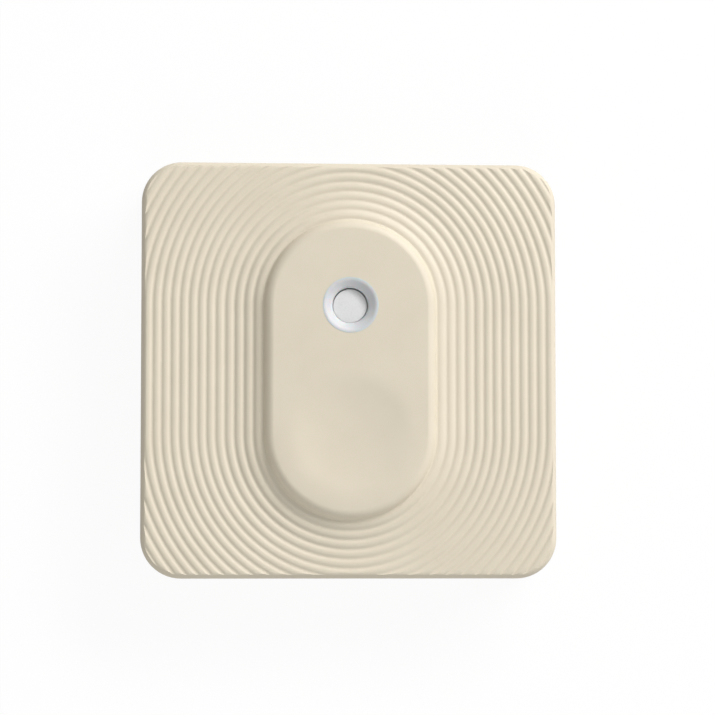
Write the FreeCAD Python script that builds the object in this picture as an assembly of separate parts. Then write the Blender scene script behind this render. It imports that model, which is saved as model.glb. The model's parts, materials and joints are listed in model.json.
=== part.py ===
"""Small square room sensor for temperature and humidity, with a radio and a coin cell.

A ribbed front shell carries the circuit board and lifts off a rear cover that holds the cell.
Millimetres. X points right and Y points up the face. Z is the way the face looks.
The origin is the middle of the flat back.
"""

import FreeCAD, Part

import math
import os

OUT = "parts"
UP = FreeCAD.Vector(0, 0, 1)
SIDES = (-1, 1)
SAME_LEVEL = 1e-6
CUT_HEADROOM = 0.1

# Housing outline, as seen from the front
BODY_WIDTH = 35.0
BODY_HEIGHT = 35.0
CORNER_RADIUS = 3.4
SIDE_WALL = 1.2
FIELD_WALL = 0.9

# Plateau in the middle of the face: two half rounds joined by straight sides
SPINE_LENGTH = 10.75
PLATEAU_RADIUS = 6.265
PLATEAU_WALL = 0.9
FLANK_RADIUS = 1.16
FLANK_ANGLE = 68.0
FLANK_STEPS = 2
POCKET_WALL = 0.3

# Ribs that follow the plateau's outline, on a field that flares up to it.
# They are a little further apart on the flare.
RIB_PITCH = 0.751
FLARE_PITCH = 0.793
RIB_DEPTH = 0.14
FLARE_WIDTH = 3.4
FLARE_RADIUS = 11.0

# Rounded rim of the face, where the ribs run out
RIM_WIDTH = 0.9
RIM_HEIGHT = 0.75
RIM_ANGLE = 82.0
RIM_STEPS = 2

# Shallow finger dish over the switch
DISH_RADIUS = 5.6
DISH_EASING = 1.3
DISH_SLOPE = 7.0
DISH_STEPS = 2

# Rear cover and the lip that stands up inside the front shell
BACK_THICKNESS = 0.8
BACK_CHAMFER = 0.5
SEAM_Z = 1.5
SEAM_CHAMFER = 0.12
LIP_CLEARANCE = 0.15
LIP_THICKNESS = 0.8
LIP_HEIGHT = 1.3
PRY_WIDTH = 5.0
PRY_DEPTH = 1.0
PRY_HEIGHT = 0.6

# Snap noses on the lip and their grooves in the shell
SNAP_LENGTH = 4.0
SNAP_OFFSET = 8.0
SNAP_CLEARANCE = 0.04
SNAP_HALF_HEIGHT = 0.3
SNAP_DROP = 0.45
GROOVE_DEPTH = 0.25
GROOVE_MARGIN = 0.15

# Coin cell of the 20 mm by 3.2 mm size, and the ribs round it
CELL_RADIUS = 10.0
CELL_HEIGHT = 3.2
CELL_STEP = 0.3
CELL_CAP_RADIUS = 8.85
CELL_CAP_HEIGHT = 0.6
CELL_SEAL_WIDTH = 0.3
CELL_CLEARANCE = 0.25
BAY_WALL = 0.8
BAY_HEIGHT = 2.0
BAY_GAP = 9.0

# Circuit board, its pads on the ceiling, its side guides and its clips
BOARD_THICKNESS = 0.8
BOARD_CLEARANCE = 0.4
BOARD_CORNER = 1.6
PAD_HEIGHT = 0.1
PAD_SIDE = 1.6
PAD_INSET = 0.6
GUIDE_WIDTH = 1.0
GUIDE_CLEARANCE = 0.1
GUIDE_OFFSET = 10.5
CLIP_LENGTH = 3.5
CLIP_GRIP = 0.5
CLIP_HEIGHT = 0.7

# Air port: light ring, porous plug, foam collar and sensor chip, one above the other
RING_RADIUS = 2.33
RING_CLEARANCE = 0.02
RING_PROUD = 0.1
RING_LIP = 0.18
RING_CONE_DEPTH = 0.42
AIR_RADIUS = 1.48
FLANGE_RADIUS = 3.7
FLANGE_THICKNESS = 0.4
MEMBRANE_THICKNESS = 0.15
PLUG_CLEARANCE = 0.1
PLUG_LEAN = 0.07
PLUG_DROP = 0.45
COLLAR_RADIUS = 2.3
COLLAR_WALL = 0.85
SENSOR_SIDE = 1.5
SENSOR_HEIGHT = 0.5
SENSOR_WINDOW_RADIUS = 0.35
SENSOR_WINDOW_DEPTH = 0.12

# Status lamp beside the collar, under the flange of the light ring
LAMP_LENGTH = 1.6
LAMP_WIDTH = 0.8
LAMP_BASE_HEIGHT = 0.22
LAMP_LENS_LENGTH = 1.0
LAMP_LENS_HEIGHT = 0.33
LAMP_GAP = 0.2

# Switch under the dish
SWITCH_SIDE = 4.5
SWITCH_HEIGHT = 0.6
SWITCH_CORNER = 0.5
SWITCH_FLOOR = 0.1
SWITCH_WELL_RADIUS = 1.75
SWITCH_PLATE = 0.1
STEM_RADIUS = 1.0
STEM_PROUD = 0.25
STEM_CLEARANCE = 0.06
STEM_FLANGE_RADIUS = 1.5
STEM_FLANGE_HEIGHT = 0.12
DOME_RADIUS = 1.6
DOME_SHEET = 0.05
DOME_FLAT = 0.6
TERMINAL_REACH = 0.6
TERMINAL_WIDTH = 0.6
TERMINAL_SHEET = 0.12
TERMINAL_OFFSET = 1.3
PRESS_GAP = 0.05
PRESS_RADIUS = 0.9

# Sheet contacts of the cell
CONTACT_ROOM = 0.3
CONTACT_SHEET = 0.12
CONTACT_GAP = 0.03
MINUS_LENGTH = 9.0
MINUS_WIDTH = 2.8
MINUS_FOOT = 2.4
MINUS_TOUCH = 1.2
PLUS_WIDTH = 3.0
PLUS_FOOT = 2.0
PLUS_LEG = 2.6
PLUS_FLARE = 0.3

# Chips and other small parts on the back of the board
RADIO_SIDE = 5.0
RADIO_HEIGHT = 0.85
RADIO_INSET = 2.3
CRYSTAL_LENGTH = 2.5
CRYSTAL_WIDTH = 2.0
CRYSTAL_BASE = 0.3
CRYSTAL_LID = 0.25
CRYSTAL_LID_INSET = 0.12
ANTENNA_LENGTH = 6.5
ANTENNA_WIDTH = 2.2
ANTENNA_HEIGHT = 1.0
ANTENNA_INSET = 0.6
BULK_LENGTH = 3.2
BULK_WIDTH = 1.6
BULK_HEIGHT = 1.2
CHIP_LENGTH = 1.0
CHIP_WIDTH = 0.5
CAPACITOR_HEIGHT = 0.5
RESISTOR_HEIGHT = 0.35
CHIP_PITCH = 1.1
CHIP_COUNT = 4
PART_GAP = 0.8

# Levels, from the back to the face
CELL_TOP = BACK_THICKNESS + CELL_HEIGHT
BOARD_BACK = CELL_TOP + CONTACT_ROOM
BOARD_TOP = BOARD_BACK + BOARD_THICKNESS
CEILING_Z = BOARD_TOP + PAD_HEIGHT
FIELD_Z = CEILING_Z + FIELD_WALL
CREST_Z = FIELD_Z + RIB_DEPTH / 2
LIP_TOP = SEAM_Z + LIP_HEIGHT
SNAP_Z = LIP_TOP - SNAP_DROP

# Places that follow from the sizes above
SPINE_HALF = SPINE_LENGTH / 2
PORT_Y = SPINE_HALF
SWITCH_Y = -SPINE_HALF
HALF_WIDTH = BODY_WIDTH / 2
HALF_HEIGHT = BODY_HEIGHT / 2
INNER_X = HALF_WIDTH - SIDE_WALL
INNER_Y = HALF_HEIGHT - SIDE_WALL
INNER_CORNER = CORNER_RADIUS - SIDE_WALL
BOARD_X = INNER_X - BOARD_CLEARANCE
BOARD_Y = INNER_Y - BOARD_CLEARANCE
FLANK_TURN = math.radians(FLANK_ANGLE)
FOOT_RHO = PLATEAU_RADIUS + FLANK_RADIUS * math.sin(FLANK_TURN)
FLARE_RHO = FOOT_RHO + FLARE_WIDTH


def vec(x, y=0.0, z=0.0):
    return FreeCAD.Vector(x, y, z)


def plate(points):
    """Flat face inside a closed run of corner points."""
    return Part.Face(Part.makePolygon(points + points[:1]))


def outline(half_x, half_y, radius, z):
    """Closed wire of a rectangle with round corners, centred on the Z axis."""
    shape = Part.makePlane(2 * half_x, 2 * half_y, vec(-half_x, -half_y, 0))
    prism = shape.extrude(UP)
    corners = [edge for edge in prism.Edges if edge.Vertexes[0].Z != edge.Vertexes[1].Z]
    rounded = prism.makeFillet(radius, corners)
    floor = min(rounded.Faces, key=lambda face: face.CenterOfMass.z)
    wire = floor.OuterWire
    wire.translate(vec(0, 0, z))
    return wire


def slab(half_x, half_y, radius, low, high):
    """Flat block with round upright corners, centred on the Z axis."""
    return Part.Face(outline(half_x, half_y, radius, low)).extrude(vec(0, 0, high - low))


def block(cx, cy, length, width, low, high):
    """Box centred on (cx, cy), standing from one level to another."""
    return Part.makeBox(length, width, high - low, vec(cx - length / 2, cy - width / 2, low))


def drum(cx, cy, radius, low, high):
    """Upright cylinder between two levels."""
    return Part.makeCylinder(radius, high - low, vec(cx, cy, low))


def steps(start, end, count):
    """Evenly spaced values from start to end, both included."""
    return [start + (end - start) * index / count for index in range(count + 1)]


def turned(section, cx=0.0, cy=0.0):
    """Solid of revolution from (radius, level) corners, about an upright axis."""
    face = plate([vec(cx + radius, cy, z) for radius, z in section])
    return face.revolve(vec(cx, cy), UP, 360)


def turned_about(shape, quarter_turns):
    """Copy of a shape, turned about the Z axis by quarter turns."""
    copy = shape.copy()
    copy.rotate(vec(0, 0, 0), UP, 90 * quarter_turns)
    return copy


def level_edges(shape, z):
    """Edges that lie flat at one level."""
    return [edge for edge in shape.Edges if all(abs(v.Z - z) < SAME_LEVEL for v in edge.Vertexes)]


def stadium(radius, low, high):
    """Upright block with the plateau's outline: two half rounds joined by straight sides."""
    ends = [drum(0, side * SPINE_HALF, radius, low, high) for side in SIDES]
    return block(0, 0, 2 * radius, SPINE_LENGTH, low, high).fuse(ends).removeSplitter()


# Face of the front shell


def field_height(rho):
    """Mean level of the ribbed field at a distance rho from the plateau's spine."""
    inside = max(0.0, FLARE_RHO - rho)
    return FIELD_Z + FLARE_RADIUS - math.sqrt(FLARE_RADIUS**2 - inside**2)


FOOT_Z = field_height(FOOT_RHO) - RIB_DEPTH / 2
PLATEAU_Z = FOOT_Z + FLANK_RADIUS * (1 - math.cos(FLANK_TURN))
POCKET_Z = PLATEAU_Z - PLATEAU_WALL
POCKET_RADIUS = PLATEAU_RADIUS - POCKET_WALL


def face_section():
    """Half section of the face, from the spine outwards: plateau, round flank, then the ribs."""
    corners = [vec(0, 0, SEAM_Z), vec(0, 0, PLATEAU_Z)]
    for turn in steps(0, FLANK_TURN, FLANK_STEPS):
        across = PLATEAU_RADIUS + FLANK_RADIUS * math.sin(turn)
        corners.append(vec(across, 0, PLATEAU_Z - FLANK_RADIUS * (1 - math.cos(turn))))
    reach = math.hypot(HALF_WIDTH, HALF_HEIGHT - SPINE_HALF)
    rho = FOOT_RHO
    while rho < reach:
        pitch = FLARE_PITCH if rho < FLARE_RHO else RIB_PITCH
        crest = rho + pitch / 2
        rho += pitch
        corners.append(vec(crest, 0, field_height(crest) + RIB_DEPTH / 2))
        corners.append(vec(rho, 0, field_height(rho) - RIB_DEPTH / 2))
    corners.append(vec(rho, 0, SEAM_Z))
    return plate(corners)


def ribbed_face():
    """The section run along both straight sides and turned round both ends."""
    section = face_section()
    section.translate(vec(0, -SPINE_HALF, 0))
    right = section.extrude(vec(0, SPINE_LENGTH, 0))
    left = right.mirror(vec(0, 0, 0), vec(1, 0, 0))
    lower = section.revolve(vec(0, -SPINE_HALF, 0), UP, -180)
    upper = lower.mirror(vec(0, 0, 0), vec(0, 1, 0))
    return right.fuse([left, lower, upper]).removeSplitter()


def rim_envelope():
    """Upright walls that round over at the rim and slope in above it, clear of the plateau."""
    start_z = CREST_Z - RIM_HEIGHT
    top_z = PLATEAU_Z + CUT_HEADROOM
    levels = [(0, SEAM_Z)]
    for turn in steps(0, math.radians(RIM_ANGLE), RIM_STEPS):
        levels.append((RIM_WIDTH * (1 - math.cos(turn)), start_z + RIM_HEIGHT * math.sin(turn)))
    inset, level = levels[-1]
    levels.append((inset + top_z - level, top_z))
    rings = [outline(HALF_WIDTH - i, HALF_HEIGHT - i, CORNER_RADIUS - i, z) for i, z in levels]
    return Part.makeLoft(rings, True, True)


def finger_dish():
    """Cutter for the dish: a shallow hollow with an eased edge."""
    slope = math.radians(DISH_SLOPE)
    hollow_end = DISH_RADIUS - DISH_EASING
    hollow = hollow_end / math.sin(slope)
    edge_z = PLATEAU_Z - DISH_EASING * math.tan(slope / 2)
    bottom = edge_z - hollow * (1 - math.cos(slope))
    section = [(0, PLATEAU_Z + CUT_HEADROOM)]
    for turn in steps(0, slope, DISH_STEPS):
        section.append((hollow * math.sin(turn), bottom + hollow * (1 - math.cos(turn))))
    section += [(DISH_RADIUS, PLATEAU_Z), (DISH_RADIUS, PLATEAU_Z + CUT_HEADROOM)]
    return turned(section, cy=SWITCH_Y)


# Features that repeat on the four side walls


def on_four_walls(make, offsets):
    """Copies of a feature along each wall. It is first made on the right wall, at y = offset."""
    copies = []
    for quarter in range(4):
        wall = INNER_X if quarter % 2 == 0 else INNER_Y
        copies += [turned_about(make(wall, offset), quarter) for offset in offsets]
    return copies


def snap_groove(wall, offset):
    half_height = SNAP_HALF_HEIGHT + GROOVE_MARGIN
    length = SNAP_LENGTH + 2 * GROOVE_MARGIN
    return block(wall, offset, 2 * GROOVE_DEPTH, length, SNAP_Z - half_height, SNAP_Z + half_height)


def snap_nose(wall, offset):
    """Wedge on the lip. It stops short of the wall, as the lip does while it is pushed home."""
    root = wall - LIP_CLEARANCE - LIP_THICKNESS / 2
    face = wall - LIP_CLEARANCE
    start = offset - SNAP_LENGTH / 2
    corners = [
        vec(root, start, SNAP_Z - SNAP_HALF_HEIGHT),
        vec(face, start, SNAP_Z - SNAP_HALF_HEIGHT),
        vec(wall - SNAP_CLEARANCE, start, SNAP_Z),
        vec(face, start, SNAP_Z + SNAP_HALF_HEIGHT),
        vec(root, start, SNAP_Z + SNAP_HALF_HEIGHT),
    ]
    return plate(corners).extrude(vec(0, SNAP_LENGTH, 0))


def board_clip(wall, offset):
    """Wedge on the shell's wall that the back of the board rests on."""
    start = offset - CLIP_LENGTH / 2
    tip = wall - BOARD_CLEARANCE - CLIP_GRIP
    root = wall + SIDE_WALL / 2
    corners = [
        vec(root, start, BOARD_BACK - CLIP_HEIGHT),
        vec(wall, start, BOARD_BACK - CLIP_HEIGHT),
        vec(tip, start, BOARD_BACK - CLIP_HEIGHT / 3),
        vec(tip, start, BOARD_BACK),
        vec(root, start, BOARD_BACK),
    ]
    return plate(corners).extrude(vec(0, CLIP_LENGTH, 0))


def board_guide(wall, offset):
    """Upright rib beside the board's edge."""
    inner = wall - BOARD_CLEARANCE + GUIDE_CLEARANCE
    outer = wall + SIDE_WALL / 2
    return block((inner + outer) / 2, offset, outer - inner, GUIDE_WIDTH, BOARD_BACK, CEILING_Z)


def board_pads():
    """Low pads on the ceiling, one over each corner of the board."""
    reach_x = BOARD_X - PAD_INSET - PAD_SIDE / 2
    reach_y = BOARD_Y - PAD_INSET - PAD_SIDE / 2
    pads = []
    for side_x in SIDES:
        for side_y in SIDES:
            at = (side_x * reach_x, side_y * reach_y)
            pads.append(block(*at, PAD_SIDE, PAD_SIDE, BOARD_TOP, CEILING_Z))
    return pads


def front_shell():
    """Moulded front: ribbed face, thin side walls, and the seats of everything behind it."""
    shell = rim_envelope().common(ribbed_face()).Solids[0]
    shell = shell.makeChamfer(SEAM_CHAMFER, level_edges(shell, SEAM_Z))
    room = slab(INNER_X, INNER_Y, INNER_CORNER, SEAM_Z, CEILING_Z)
    pocket = stadium(POCKET_RADIUS, BOARD_TOP, POCKET_Z)
    port = drum(0, PORT_Y, RING_RADIUS + RING_CLEARANCE, BOARD_TOP, PLATEAU_Z + CUT_HEADROOM)
    grooves = on_four_walls(snap_groove, (-SNAP_OFFSET, SNAP_OFFSET))
    shell = shell.cut([room, pocket, port, finger_dish(), *grooves])
    stem_top = BOARD_TOP + SWITCH_HEIGHT + SWITCH_PLATE + STEM_PROUD
    press_boss = drum(0, SWITCH_Y, PRESS_RADIUS, stem_top + PRESS_GAP, POCKET_Z)
    clips = on_four_walls(board_clip, (0,))
    guides = on_four_walls(board_guide, (-GUIDE_OFFSET, GUIDE_OFFSET))
    return shell.fuse([press_boss, *board_pads(), *clips, *guides]).removeSplitter()


def rear_cover():
    """Shallow tray with a lip, snap noses, a round bay for the cell and a slot to prise it open."""
    lip_x = INNER_X - LIP_CLEARANCE
    lip_y = INNER_Y - LIP_CLEARANCE
    lip_corner = INNER_CORNER - LIP_CLEARANCE
    tray = slab(HALF_WIDTH, HALF_HEIGHT, CORNER_RADIUS, 0, SEAM_Z)
    tray = tray.makeChamfer(BACK_CHAMFER, level_edges(tray, 0))
    tray = tray.makeChamfer(SEAM_CHAMFER, level_edges(tray, SEAM_Z))
    lip = slab(lip_x, lip_y, lip_corner, BACK_THICKNESS, LIP_TOP)
    room_x = lip_x - LIP_THICKNESS
    room_y = lip_y - LIP_THICKNESS
    room_corner = lip_corner - LIP_THICKNESS
    room = slab(room_x, room_y, room_corner, BACK_THICKNESS, LIP_TOP)
    slot_z = SEAM_Z - PRY_HEIGHT
    slot = block(0, HALF_HEIGHT, PRY_WIDTH, 2 * PRY_DEPTH, slot_z, SEAM_Z)
    cover = tray.fuse(lip).cut([room, slot])
    noses = on_four_walls(snap_nose, (-SNAP_OFFSET, SNAP_OFFSET))
    return cover.fuse([*noses, *bay_ribs()]).removeSplitter()


def bay_ribs():
    """Ring of four curved ribs round the cell, open where fingers and the plus contact reach in."""
    inner = CELL_RADIUS + CELL_CLEARANCE
    outer = inner + BAY_WALL
    top = BACK_THICKNESS + BAY_HEIGHT
    ring = drum(0, 0, outer, BACK_THICKNESS, top).cut(drum(0, 0, inner, BACK_THICKNESS, top))
    gaps = [block(0, 0, 2 * outer, BAY_GAP, BACK_THICKNESS, top)]
    gaps.append(block(0, 0, BAY_GAP, 2 * outer, BACK_THICKNESS, top))
    return ring.cut(gaps).Solids


# Air port, from the face down to the board

FLANGE_LOW = POCKET_Z - FLANGE_THICKNESS
COLLAR_TOP = FLANGE_LOW - MEMBRANE_THICKNESS


def light_ring():
    """Clear ring with a coned mouth. Its flange bears on the underside of the plateau."""
    mouth = PLATEAU_Z + RING_PROUD
    return turned(
        [
            (AIR_RADIUS, FLANGE_LOW),
            (AIR_RADIUS, mouth - RING_CONE_DEPTH),
            (RING_RADIUS - RING_LIP, mouth),
            (RING_RADIUS, mouth),
            (RING_RADIUS, POCKET_Z),
            (FLANGE_RADIUS, POCKET_Z),
            (FLANGE_RADIUS, FLANGE_LOW),
        ],
        cy=PORT_Y,
    )


def vent_membrane():
    """Porous plug that lets air through. Its thin flange is held between the ring and the collar.

    It has a little play in the ring's bore, and it rests near the lower side of it.
    """
    cy = PORT_Y - PLUG_LEAN
    top = PLATEAU_Z + RING_PROUD - PLUG_DROP
    flange = drum(0, cy, COLLAR_RADIUS - PLUG_CLEARANCE, COLLAR_TOP, FLANGE_LOW)
    crown = drum(0, cy, AIR_RADIUS - PLUG_CLEARANCE, FLANGE_LOW, top)
    return flange.fuse(crown).removeSplitter()


def sensor_collar():
    """Foam ring that seals the room of the sensor chip between the porous plug and the board."""
    outer = drum(0, PORT_Y, COLLAR_RADIUS, BOARD_TOP, COLLAR_TOP)
    return outer.cut(drum(0, PORT_Y, COLLAR_RADIUS - COLLAR_WALL, BOARD_TOP, COLLAR_TOP))


def humidity_sensor():
    """Square chip with a small round window over its sensing film."""
    top = BOARD_TOP + SENSOR_HEIGHT
    chip = block(0, PORT_Y, SENSOR_SIDE, SENSOR_SIDE, BOARD_TOP, top)
    return chip.cut(drum(0, PORT_Y, SENSOR_WINDOW_RADIUS, top - SENSOR_WINDOW_DEPTH, top))


LAMP_X = COLLAR_RADIUS + LAMP_GAP + LAMP_WIDTH / 2


def lamp_base():
    return block(LAMP_X, PORT_Y, LAMP_WIDTH, LAMP_LENGTH, BOARD_TOP, BOARD_TOP + LAMP_BASE_HEIGHT)


def lamp_lens():
    low = BOARD_TOP + LAMP_BASE_HEIGHT
    return block(LAMP_X, PORT_Y, LAMP_WIDTH, LAMP_LENS_LENGTH, low, low + LAMP_LENS_HEIGHT)


# Circuit board and what is soldered to it


def circuit_board():
    return slab(BOARD_X, BOARD_Y, BOARD_CORNER, BOARD_BACK, BOARD_TOP)


SWITCH_TOP = BOARD_TOP + SWITCH_HEIGHT
SWITCH_WELL_Z = BOARD_TOP + SWITCH_FLOOR
FLANGE_Z = SWITCH_TOP - STEM_FLANGE_HEIGHT


def switch_square(low, high):
    """Square block with cut corners, the outline of the switch."""
    square = block(0, SWITCH_Y, SWITCH_SIDE, SWITCH_SIDE, low, high)
    uprights = [edge for edge in square.Edges if edge.Vertexes[0].Z != edge.Vertexes[1].Z]
    return square.makeChamfer(SWITCH_CORNER, uprights)


def switch_body():
    well = drum(0, SWITCH_Y, SWITCH_WELL_RADIUS, SWITCH_WELL_Z, SWITCH_TOP)
    return switch_square(BOARD_TOP, SWITCH_TOP).cut(well)


def switch_plate():
    """Sheet cover that keeps the stem in its well."""
    top = SWITCH_TOP + SWITCH_PLATE
    hole = drum(0, SWITCH_Y, STEM_RADIUS + STEM_CLEARANCE, SWITCH_TOP, top)
    return switch_square(SWITCH_TOP, top).cut(hole)


def switch_stem():
    top = SWITCH_TOP + SWITCH_PLATE + STEM_PROUD
    flange = drum(0, SWITCH_Y, STEM_FLANGE_RADIUS, FLANGE_Z, SWITCH_TOP)
    return flange.fuse(drum(0, SWITCH_Y, STEM_RADIUS, SWITCH_TOP, top)).removeSplitter()


def switch_dome():
    """Sprung sheet disc, raised from the floor of the well to the underside of the stem."""
    top = FLANGE_Z - DOME_SHEET
    under = [(0, top), (DOME_FLAT, top), (DOME_RADIUS, SWITCH_WELL_Z)]
    over = [(radius, z + DOME_SHEET) for radius, z in reversed(under)]
    return turned(under + over, cy=SWITCH_Y)


def switch_terminals():
    """Four solder tabs that leave the switch at its sides."""
    reach = SWITCH_SIDE / 2 + TERMINAL_REACH / 2
    top = BOARD_TOP + TERMINAL_SHEET
    tabs = []
    for side in SIDES:
        for offset in (-TERMINAL_OFFSET, TERMINAL_OFFSET):
            at = (side * reach, SWITCH_Y + offset)
            tabs.append(block(*at, TERMINAL_REACH, TERMINAL_WIDTH, BOARD_TOP, top))
    return Part.makeCompound(tabs)


def on_back(cx, cy, length, width, height, lift=0.0):
    """Block that hangs from the back of the board."""
    return block(cx, cy, length, width, BOARD_BACK - lift - height, BOARD_BACK - lift)


RADIO_X = -(BOARD_X - RADIO_INSET - RADIO_SIDE / 2)
RADIO_Y = -(BOARD_Y - RADIO_INSET - RADIO_SIDE / 2)
CRYSTAL_X = RADIO_X - (RADIO_SIDE - CRYSTAL_LENGTH) / 2
CRYSTAL_Y = RADIO_Y + RADIO_SIDE / 2 + PART_GAP + CRYSTAL_WIDTH / 2
ANTENNA_X = BOARD_X - ANTENNA_INSET - ANTENNA_LENGTH / 2
ANTENNA_Y = BOARD_Y - ANTENNA_INSET - ANTENNA_WIDTH / 2
BULK_X = RADIO_X
BULK_Y = -RADIO_Y + BULK_WIDTH / 2
CHIPS_X = -RADIO_X
CHIPS_Y = RADIO_Y


def radio_chip():
    return on_back(RADIO_X, RADIO_Y, RADIO_SIDE, RADIO_SIDE, RADIO_HEIGHT)


def crystal_base():
    return on_back(CRYSTAL_X, CRYSTAL_Y, CRYSTAL_LENGTH, CRYSTAL_WIDTH, CRYSTAL_BASE)


def crystal_lid():
    length = CRYSTAL_LENGTH - 2 * CRYSTAL_LID_INSET
    width = CRYSTAL_WIDTH - 2 * CRYSTAL_LID_INSET
    return on_back(CRYSTAL_X, CRYSTAL_Y, length, width, CRYSTAL_LID, lift=CRYSTAL_BASE)


def chip_antenna():
    return on_back(ANTENNA_X, ANTENNA_Y, ANTENNA_LENGTH, ANTENNA_WIDTH, ANTENNA_HEIGHT)


def bulk_capacitor():
    return on_back(BULK_X, BULK_Y, BULK_LENGTH, BULK_WIDTH, BULK_HEIGHT)


def chip_row(cy, height):
    """Row of small two-ended chips."""
    first = CHIPS_X - CHIP_PITCH * (CHIP_COUNT - 1) / 2
    places = [first + CHIP_PITCH * index for index in range(CHIP_COUNT)]
    return Part.makeCompound([on_back(x, cy, CHIP_WIDTH, CHIP_LENGTH, height) for x in places])


def chip_capacitors():
    return chip_row(CHIPS_Y + CHIP_LENGTH, CAPACITOR_HEIGHT)


def chip_resistors():
    return chip_row(CHIPS_Y - CHIP_LENGTH, RESISTOR_HEIGHT)


# Cell contacts, bent from sheet and soldered to the back of the board


def minus_contact():
    """Flat strip that bows down to the middle of the cell's cap."""
    touch = CELL_TOP + CONTACT_GAP
    foot_z = BOARD_BACK - CONTACT_SHEET
    end = MINUS_LENGTH / 2
    bend = end - MINUS_FOOT
    half_touch = MINUS_TOUCH / 2
    lower = [(-end, foot_z), (-bend, foot_z), (-half_touch, touch)]
    lower += [(-x, z) for x, z in reversed(lower)]
    upper = [(x, z + CONTACT_SHEET) for x, z in reversed(lower)]
    section = plate([vec(x, -MINUS_WIDTH / 2, z) for x, z in lower + upper])
    return section.extrude(vec(0, MINUS_WIDTH, 0))


def plus_contact():
    """Angle whose leg bears on the side of the cell, through a gap in the bay."""
    near = CELL_RADIUS + CONTACT_GAP
    far = near + CONTACT_SHEET
    foot_end = near + PLUS_FOOT
    leg_end = BOARD_BACK - PLUS_LEG
    bend = leg_end + PLUS_FLARE
    corners = [
        (foot_end, BOARD_BACK),
        (near, BOARD_BACK),
        (near, bend),
        (near + PLUS_FLARE, leg_end),
        (far + PLUS_FLARE, leg_end),
        (far, bend),
        (far, BOARD_BACK - CONTACT_SHEET),
        (foot_end, BOARD_BACK - CONTACT_SHEET),
    ]
    section = plate([vec(x, -PLUS_WIDTH / 2, z) for x, z in corners])
    return section.extrude(vec(0, PLUS_WIDTH, 0))


# Coin cell, plus side down on the rear cover

CELL_LIP = CELL_TOP - CELL_STEP
CELL_SEAT = CELL_TOP - CELL_CAP_HEIGHT
CELL_MOUTH = CELL_CAP_RADIUS + CELL_SEAL_WIDTH


def cell_can():
    """Round steel cup with its filling, and a recess at the top for the seal and the cap."""
    can = drum(0, 0, CELL_RADIUS, BACK_THICKNESS, CELL_LIP)
    return can.cut(drum(0, 0, CELL_MOUTH, CELL_SEAT, CELL_LIP))


def cell_seal():
    """Grommet between the can and the cap."""
    ring = drum(0, 0, CELL_MOUTH, CELL_SEAT, CELL_LIP)
    return ring.cut(drum(0, 0, CELL_CAP_RADIUS, CELL_SEAT, CELL_LIP))


def cell_cap():
    """Minus side of the cell, a little proud of the can."""
    return drum(0, 0, CELL_CAP_RADIUS, CELL_SEAT, CELL_TOP)


PIECES = (
    front_shell,
    rear_cover,
    light_ring,
    vent_membrane,
    sensor_collar,
    humidity_sensor,
    lamp_base,
    lamp_lens,
    circuit_board,
    switch_body,
    switch_plate,
    switch_stem,
    switch_dome,
    switch_terminals,
    radio_chip,
    crystal_base,
    crystal_lid,
    chip_antenna,
    bulk_capacitor,
    chip_capacitors,
    chip_resistors,
    minus_contact,
    plus_contact,
    cell_can,
    cell_seal,
    cell_cap,
)


def main():
    os.makedirs(OUT, exist_ok=True)
    for make in PIECES:
        shape = make()
        shape.exportStep(f"{OUT}/{make.__name__}.step")
        print(make.__name__, len(shape.Solids), shape.isValid(), round(shape.Volume, 3))


main()
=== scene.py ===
# %% [markdown]
# A small square room sensor, dressed for its picture.
# The CAD model gives the sizes, the places and the bodies that move. It has straight, simple
# facets where the real moulding is round, so this lesson remakes the pieces that show and gives
# every piece a finish. The CAD model stays as the frame, and each new piece rides on its bodies.
# The origin is the middle of the flat back. X points right, Y up the face, Z the way it looks.

# %% Load the frame
import json
import math

import bmesh
import bpy
from mathutils import Matrix, Vector


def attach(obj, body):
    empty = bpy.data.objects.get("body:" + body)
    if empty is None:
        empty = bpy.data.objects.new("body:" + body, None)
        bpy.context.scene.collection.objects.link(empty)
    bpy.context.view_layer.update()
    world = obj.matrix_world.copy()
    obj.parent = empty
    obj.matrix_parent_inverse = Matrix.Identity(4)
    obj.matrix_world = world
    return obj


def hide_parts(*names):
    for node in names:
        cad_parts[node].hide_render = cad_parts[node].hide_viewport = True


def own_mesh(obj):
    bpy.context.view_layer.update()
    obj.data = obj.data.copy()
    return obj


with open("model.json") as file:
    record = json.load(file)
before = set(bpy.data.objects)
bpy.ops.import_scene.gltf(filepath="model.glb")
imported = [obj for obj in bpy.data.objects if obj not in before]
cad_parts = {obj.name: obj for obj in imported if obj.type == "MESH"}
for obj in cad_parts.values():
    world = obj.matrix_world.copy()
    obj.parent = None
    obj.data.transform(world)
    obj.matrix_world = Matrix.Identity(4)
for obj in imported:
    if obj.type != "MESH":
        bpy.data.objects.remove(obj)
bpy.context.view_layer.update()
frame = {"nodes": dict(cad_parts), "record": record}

# %% [markdown]
# The pieces are only a few millimetres across, so they are drawn in millimetres and shrunk to
# metres when they are finished. A drawing in metres would be so small that the tools that weld
# close points could weld real corners together.

# %% From a drawing to a solid
MM = 0.001
WELD = 1e-4


def solid(drawing, name):
    """Object in millimetres from a closed drawing, with its faces pointing outwards."""
    bmesh.ops.remove_doubles(drawing, verts=drawing.verts, dist=WELD)
    bmesh.ops.recalc_face_normals(drawing, faces=drawing.faces)
    mesh = bpy.data.meshes.new(name)
    drawing.to_mesh(mesh)
    drawing.free()
    made = bpy.data.objects.new(name, mesh)
    bpy.context.scene.collection.objects.link(made)
    return made


# %% [markdown]
# A mould is cut, and so are these pieces: a simple block is cut by others and joined to others.
# The Boolean modifier does that. Its Manifold solver is quick and keeps the result closed.

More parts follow.
